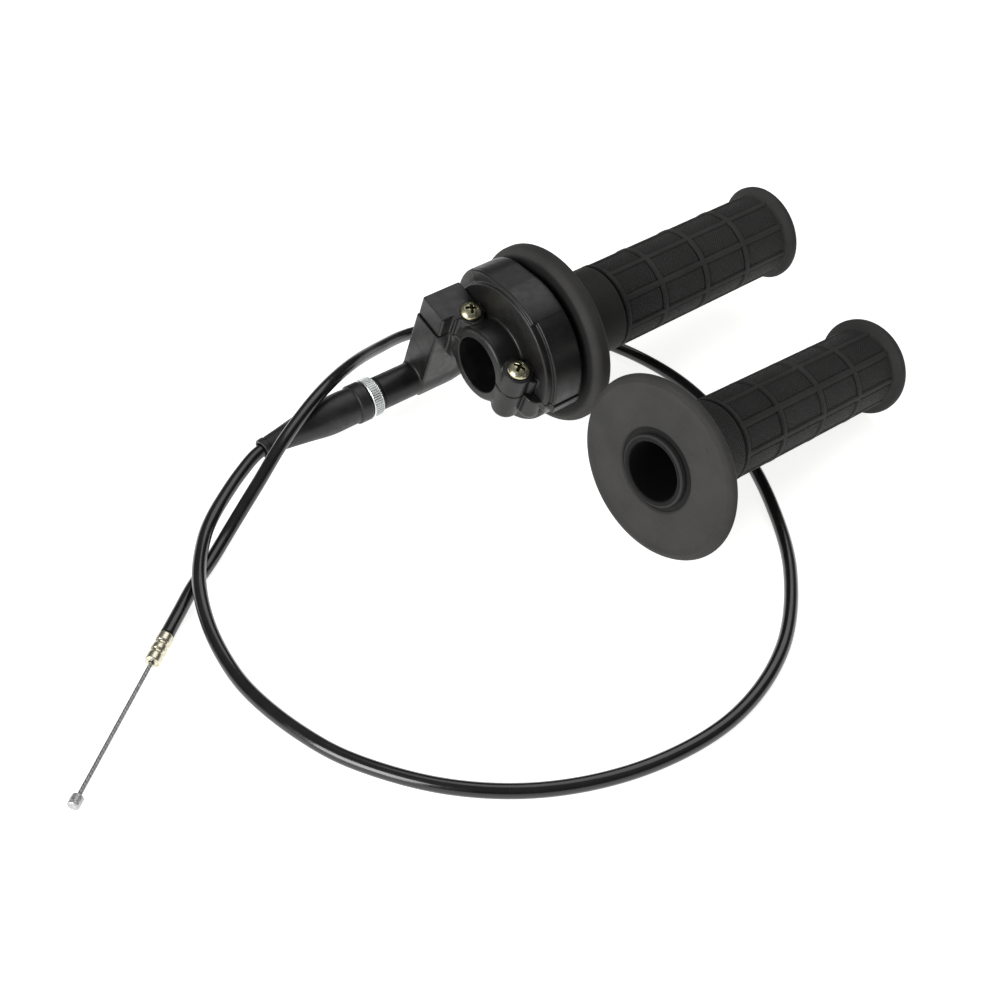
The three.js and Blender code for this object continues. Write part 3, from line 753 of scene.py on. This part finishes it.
class Waffle:
    """Raised rings and long ribs on a grip's barrel, with panels between them."""

    def __init__(self, step, rings, first_rib, knurled_neck, painted_flange_shade):
        self.step = step
        self.rings = (step + 2.0, *rings)
        self.first = math.radians(first_rib)
        self.knurled_neck = knurled_neck
        self.painted_flange_shade = painted_flange_shade

    def masks(self, s, r, angle):
        """The barrel, what is raised on it, and the grooves beside that."""
        barrel = (s > self.step + 0.9) & (s < PANELS_END) & (r > 15)
        ring = np.zeros_like(s)
        groove = np.zeros_like(s)
        for at in self.rings:
            ring = np.maximum(ring, pulse(s - at, 0.95))
            groove = np.maximum(groove, pulse(s - at + 1.55, 0.35, 0.3))
            groove = np.maximum(groove, 0.6 * pulse(s - at - 1.45, 0.25, 0.3))
        pitch = 2 * math.pi / RIB_COUNT
        turned = (angle - self.first + pitch / 2) % pitch - pitch / 2
        rib = pulse(turned * r, 0.9)
        groove = np.maximum(groove, 0.7 * pulse(np.abs(turned * r) - 1.4, 0.22, 0.3))
        raised = np.maximum(ring, rib)
        return barrel, raised, groove * (1 - raised)

    def relief(self, s, r, angle):
        """Ribs and rings that stand out, and grooves that sink in."""
        barrel, raised, groove = self.masks(s, r, angle)
        return 0 * s, np.where(barrel, raised * RIB_HEIGHT - groove * RIB_HEIGHT, 0)

    def panel(self, s, r, angle):
        """1 on a knurled panel, 0 on plain rubber, down to -1 as painted shade in grooves, the
        slot, the recess, on the flange face and in the bore.
        """
        barrel, raised, groove = self.masks(s, r, angle)
        # Painted shade in the grooves beside the rings and ribs.
        marked = np.where(barrel, (1 - raised) * (1 - groove) - 0.95 * groove, 0)
        # Painted shade in the slot at the step.
        slot = (s > self.step) & (s < self.step + 0.8) & (r > 14)
        marked = np.where(slot, -0.9, marked)
        if self.knurled_neck:
            neck = (s > 9) & (s < self.step - 0.6) & (r > 14)
            marked = np.where(neck, 1.0, marked)
        # Painted shade in the recess in the flange's front face.
        painted_recess_shade = (s < -1.2) & (s > -2) & (r > 13.4) & (r < 16.2)
        marked = np.where(painted_recess_shade, -0.85, marked)
        if self.painted_flange_shade:
            # Painted shade on the flange's front face near the drum, which shades it; the outer rim
            # stays light.
            shade = np.clip((33.2 - r) / 1.6, 0, 1)
            marked = np.where(s < -2.2, -0.8 * shade, marked)
        # Painted shade in the bore.
        return np.where((r < 13) & (s < BORE_END), -1.0, marked)


def flange_and_barrel(flange, barrel, front, back, neck, length, end):
    """A grip's outside from the rim of its flange, over the neck, to the middle of its end."""
    return [
        (front, flange - 2.6), (front + 0.9, flange - 0.8), (front + 2.2, flange),
        (back - 2.0, flange), (back - 0.5, flange - 1.1), (back, flange - 3.5),
        *neck, (length - 5.8, barrel), (length - 4.6, barrel + 0.4), (length - 3.8, end - 0.7),
        (length - 3.0, end), (length - 0.8, end - 0.3), (length, end - 1.8),
        (length - 0.4, end - 7), (length - 0.4, 0.02),
    ]


def throttle_grip():
    """The grip that turns, over the throttle tube."""
    neck = [
        (6.4, 24), (9.5, 19.2), (15, 17.3), (GRIP_STEP, 17.3),
        (28.3, 16.1), (28.95, 16.1), (29.05, GRIP_BARREL),
    ]
    outline = flange_and_barrel(GRIP_FLANGE, GRIP_BARREL, -3, 4.6, neck, GRIP_LENGTH, GRIP_END)
    inner = [
        (TUBE_BORE_END, 0.02), (TUBE_BORE_END, TUBE_BORE), (-3, TUBE_BORE), (-3, 30), (-3, 33.3),
    ]
    profile = resampled(np.vstack([rounded(outline, 0.8), inner]), GRIP_PITCH)
    waffle = Waffle(GRIP_STEP, (49.8, 72.8, 95.3), 81, knurled_neck=False, painted_flange_shade=True)
    mesh = skin("waffle_grip", HOUSING_PLACE, profile, GRIP_SEGMENTS,
                waffle.relief, panel=waffle.panel)
    finished("waffle_grip", mesh, RUBBER, "throttle", "grip_rubber", "throttle_grip")


def left_grip():
    """The loose grip, open at its flange, with two moulding dots on the flange's face."""
    neck = [
        (3.3, 22), (6.1, 18), (12, 16.0), (LEFT_STEP, 16.0),
        (27.5, 14.9), (28.15, 14.9), (28.25, LEFT_BARREL),
    ]
    outline = flange_and_barrel(LEFT_FLANGE, LEFT_BARREL, -2.5, 1.9, neck, LEFT_LENGTH, LEFT_END)
    inner = [
        (BORE_END, 0.02), (BORE_END, BAR_BORE), (-3.7, BAR_BORE), (-4.1, 11.6), (-4.1, 13.0),
        (-3.6, 13.5), (-1.6, 13.5), (-1.6, 15.4), (-2.4, 16.4), (-1.9, 24), (-2.0, 30),
        (-2.5, 31.9),
    ]
    profile = resampled(np.vstack([rounded(outline, 0.8), inner]), GRIP_PITCH)
    waffle = Waffle(LEFT_STEP, (50, 73.5, 95.8), 90, knurled_neck=True, painted_flange_shade=False)

    def relief(s, r, angle):
        shift_s, shift_r = waffle.relief(s, r, angle)
        for at, turn in MOULD_DOTS:
            apart = np.hypot(r - at, r * (angle - math.radians(turn)))
            shift_s = shift_s - 0.4 * np.exp(-(apart / 0.6) ** 2) * (s < -1.2)
        return shift_s, shift_r

    mesh = skin("waffle_grip_left", straight(LEFT, LEFT_AXES), profile, GRIP_SEGMENTS,
                relief, panel=waffle.panel)
    finished("waffle_grip_left", mesh, RUBBER, "left_grip", "grip_rubber", "left_grip")


def throttle_tube():
    """The nylon tube and its cable drum."""
    profile = rounded([
        (-16.2, 15), (-16.2, 25.6), (-14.2, 25.6), (-14.2, 21.5), (-11.2, 21.5), (-11.2, 25.6),
        (-8.4, 25.6), (-8.4, 13.2), (117.5, 13.2), (117.5, 11.4), (-16.2, 11.4), (-16.2, 14.9),
    ], 0.4)
    mesh = skin("twist_tube", HOUSING_PLACE, profile, 128)
    finished("twist_tube", mesh, NYLON, "throttle", "dark_nylon", "throttle_tube")


# ---- Cable end at the housing -------------------------------------------------------------------
ELBOW_PLACE = straight(ELBOW_CENTRE, HOUSING_AXES)


def knurled_nut():
    """The lock nut, with teeth round its rim and painted shade between them."""
    profile = rounded([
        (-63, 6), (-63, 7.6), (-62.6, 8), (-58.8, 8), (-58.4, 7.6), (-58.4, 6),
        (-58.4, 4.3), (-63, 4.3), (-63, 5.9),
    ], 0.15)
    profile = resampled(profile, 0.4)

    def depth(s, r, angle):
        tooth = np.abs((angle * 52 / (2 * math.pi)) % 1 - 0.5) * 2
        edge = np.clip(np.minimum(s + 62.7, -58.7 - s) / 0.3, 0, 1)
        return np.where(r > 7.5, np.clip(tooth * 1.6 - 0.5, 0, 1) * edge, 0)

    def relief(s, r, angle):
        return 0 * s, -0.5 * depth(s, r, angle)

    # Painted shade between the teeth, kept as the panel mark.
    def panel(s, r, angle):
        return 0.45 * depth(s, r, angle)

    mesh = skin("knurled_nut", ELBOW_PLACE, profile, 624, relief, panel=panel)
    finished("knurled_nut", mesh, WHITE_ZINC, "lock_nut", "white_zinc", "lock_nut")


def seal_ring():
    """The thin ring between the elbow's end and the lock nut."""
    profile = rounded([
        (-58.1, 6), (-58.1, 7.1), (-57.3, 7.1), (-57.3, 5.2), (-58.1, 5.2), (-58.1, 5.9),
    ], 0.25)
    mesh = skin("seal_washer", ELBOW_PLACE, profile, 96)
    finished("seal_washer", mesh, BOOT_RUBBER, "housing", "boot_rubber", "seal_ring")


def tapered_boot(path):
    """The boot over the adjuster: a lip, a long taper and a rim at the cable."""
    start, lip = BAR[0] - 63.4, 5.2
    length, wide, narrow = 46.3, 7.3, 3.7

    def radius(s):
        share = np.clip((s - 14) / (length - 14), 0, 1)
        return wide + (narrow - wide) * share * share * (3 - 2 * share)

    def behind_lip(s):
        return 0.12 * math.exp(-((s - lip) / 1.5) ** 2)

    outside = [(0, 6.4), (0, 7.6), (0.3, 7.9), (lip - 0.4, 7.9), (lip, 7.6), (lip + 0.1, 7.2)]
    taper = np.arange(lip + 0.6, length - 2.6, 0.8)
    outside += [(s, radius(s) - behind_lip(s)) for s in taper]
    outside += [(length - 2.5, radius(length - 2.5)), (length - 2.2, 4.15)]
    outside += [(length - 0.4, 4.1), (length, 3.8)]
    inside = [(length, 3.1), (25, 3.0), (23.6, 5.6), (0, 5.6), (0, 6.3)]
    profile = resampled(np.array(outside + inside), 0.8)
    wobble = rng.uniform(0, 2 * math.pi, 4)

    def relief(s, r, angle):
        soft = np.sin(s * 0.21 + wobble[0] + 2 * angle) + np.sin(s * 0.37 + wobble[1] - 3 * angle)
        free = np.clip((s - lip) / 4, 0, 1) * (r > 3.3) * (s < length - 3)
        return 0 * s, 0.06 * soft * free

    place = Path(np.vstack([[(start, *ROUTE[0][1:])], path]))
    mesh = skin("tapered_boot", place.place, profile, 96, relief)
    finished("tapered_boot", mesh, BOOT_RUBBER, "housing", "boot_rubber", "cable_boot")


# ---- Cable --------------------------------------------------------------------------------------
TAIL_SIDE = np.cross((0.0, 0.0, 1.0), TAIL)
TAIL_PLACE = straight(CORD_END, np.array([TAIL, TAIL_SIDE, np.cross(TAIL, TAIL_SIDE)]))
WIRE_FROM, WIRE_TO = 9.6, 68.6


def cable(path):
    """The sheathed cable, open at its far end for the wire that slides in it."""
    line = Path(path)
    length = line.length
    outer = [(0, 0.02), (0, CORD_RADIUS - 0.2), (0.2, CORD_RADIUS)]
    outer += [(s, CORD_RADIUS) for s in np.arange(1.4, length - 0.5, 1.4)]
    outer += [(length - 0.2, CORD_RADIUS), (length, CORD_RADIUS - 0.2), (length, CORD_BORE)]
    outer += [(s, CORD_BORE) for s in np.arange(length - 1.4, length - 31, -1.4)]
    outer += [(length - 31, CORD_BORE), (length - 31, 0.02)]
    mesh = skin("control_cable", line.place, np.array(outer), 28, closed=False)
    piece = finished("control_cable", mesh, SHEATH, "housing", "cable_pvc", "cable_outer")
    return piece, length


def crimped_ferrule():
    """The ferrule at the cable's far end, with two crimps."""
    profile = rounded([
        (0.3, 1.1), (0.3, 2.8), (3.5, 2.8), (4.0, 2.35), (4.9, 2.35), (5.4, 2.8), (7.5, 2.8),
        (8.0, 2.35), (8.8, 2.35), (9.3, 2.72), (12.2, 2.72), (12.6, 2.4), (12.6, 1.1),
    ], 0.3)
    profile = resampled(profile, 0.3)

    def relief(s, r, angle):
        crimp = pulse(s - 4.45, 0.8, 0.6) + pulse(s - 8.4, 0.8, 0.6)
        return 0 * s, np.where(r > 2, -0.14 * crimp * (1 + np.cos(6 * angle)) / 2, 0)

    mesh = skin("crimped_ferrule", TAIL_PLACE, profile, 96, relief)
    return finished("crimped_ferrule", mesh, BRASS, "housing", "brass", "end_ferrule")


def stranded_wire():
    """The bare wire, laid in strands."""
    rows = [(WIRE_FROM, 0.02), (WIRE_FROM, 0.7)]
    rows += [(s, 0.7) for s in np.arange(WIRE_FROM + 0.2, WIRE_TO, 0.22)]
    rows += [(WIRE_TO, 0.7), (WIRE_TO, 0.02)]

    def relief(s, r, angle):
        strand = np.abs(np.cos(4 * (angle + s * 2 * math.pi / 11)))
        return 0 * s, np.where(r > 0.3, 0.11 * strand - 0.06, 0)

    mesh = skin("stranded_wire", TAIL_PLACE, np.array(rows), 48, relief, closed=False)
    return finished("stranded_wire", mesh, STEEL, "carb_end", "steel_wire", "carb_wire")


def cast_nipple():
    """The nipple on the wire's end, with a rough skin and a casting seam."""
    start = WIRE_TO + 0.3
    profile = rounded([
        (start, 0.02), (start, 1.6), (start + 0.4, 2.0),
        (start + 3.8, 2.0), (start + 4.2, 1.6), (start + 4.2, 0.02),
    ], 0.3)
    profile = resampled(profile, 0.2)
    phase = rng.uniform(0, 2 * math.pi, 3)

    def relief(s, r, angle):
        rough = np.sin(3 * s + phase[0] + 2 * angle) + np.sin(5 * s + phase[1] - 3 * angle)
        seam = pulse((angle - math.pi) * 2.0, 0.15, 0.2)
        return 0 * s, np.where(r > 0.3, 0.03 * rough + 0.06 * seam, 0)

    mesh = skin("cast_nipple", TAIL_PLACE, profile, 64, relief, closed=False)
    return finished("cast_nipple", mesh, CAST_ZINC, "carb_end", "cast_zinc", "carb_nipple")


def cable_assembly():
    """The cable with its fittings as a cord, and the boot over its first part."""
    path = through(ROUTE)
    piece, length = cable(path)
    far = [crimped_ferrule(), stranded_wire(), cast_nipple()]
    tapered_boot(path[:60])


# ---- Carried-over CAD nodes ---------------------------------------------------------------------
def dress(node, material):
    """A CAD node that is kept as it is, in a material."""
    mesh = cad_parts[node].data
    mesh.materials.clear()
    mesh.materials.append(material)


# ---- Floor and light ----------------------------------------------------------------------------
def make_floor():
    """A plain pale floor at z = 0."""
    mesh = bpy.data.meshes.new("floor")
    work = bmesh.new()
    bmesh.ops.create_circle(work, cap_ends=True, segments=96, radius=6)
    work.to_mesh(mesh)
    work.free()
    floor = bpy.data.objects.new("floor", mesh)
    shader = Shader("pale_floor", 0.9, Specular_IOR_Level=0.1)
    shade = shader.noise(400, 2)
    shader.set("Base Color", shader.ramp(shade, (0.3, grey(0.6, 0.004)), (0.7, grey(0.66, 0.004))))
    shader.base.inputs["Emission Color"].default_value = (1, 1, 0.99, 1)
    shader.base.inputs["Emission Strength"].default_value = 0.86
    mesh.materials.append(shader.material)
    bpy.context.scene.collection.objects.link(floor)


def area_light(name, place, size, power):
    """A soft white light that looks at the origin."""
    data = bpy.data.lights.new(name, "AREA")
    data.shape = "RECTANGLE"
    data.size, data.size_y = size
    data.energy = power
    light = bpy.data.objects.new(name, data)
    light.location = place
    light.rotation_euler = (-Vector(place)).to_track_quat("-Z", "Y").to_euler()
    light.visible_camera = False
    bpy.context.scene.collection.objects.link(light)


def make_world():
    """Pale at the horizon, dim above it and brighter overhead."""
    world = bpy.data.worlds.new("studio")
    world.use_nodes = True
    nodes, links = world.node_tree.nodes, world.node_tree.links
    coords = nodes.new("ShaderNodeTexCoord")
    split = nodes.new("ShaderNodeSeparateXYZ")
    ramp = nodes.new("ShaderNodeValToRGB")
    elements = ramp.color_ramp.elements
    elements[0].position, elements[1].position = 0.06, 0.9
    elements[0].color = (0.85, 0.85, 0.85, 1)
    elements[1].color = (0.25, 0.25, 0.25, 1)
    elements.new(0.2).color = (0.04, 0.04, 0.04, 1)
    links.new(coords.outputs["Generated"], split.inputs[0])
    links.new(split.outputs["Z"], ramp.inputs["Fac"])
    links.new(ramp.outputs["Color"], nodes["Background"].inputs["Color"])
    bpy.context.scene.world = world


cable_assembly()
housing_shells()
clamp_screw("pan_screw_front", "clamp_screw_front", -1)
clamp_screw("pan_screw_rear", "clamp_screw_rear", 1)
throttle_tube()
throttle_grip()
left_grip()
knurled_nut()
seal_ring()
for node, material in {
    "thrust_washer": WHITE_NYLON, "drum_nipple": CAST_ZINC, "drum_wire": STEEL,
    "lead_wire": STEEL, "cable_guide": WHITE_ZINC, "adjuster_sleeve": WHITE_ZINC,
    "cable_cap": BRASS, "thread_insert_front": BRASS, "thread_insert_rear": BRASS,
}.items():
    dress(node, material)
make_floor()
make_world()
area_light("key", (0.4, 0.15, 0.85), (0.8, 0.8), 3)
area_light("side", (-1.15, -0.12, 0.5), (0.7, 0.7), 14)
bpy.context.scene.view_settings.view_transform = "Standard"
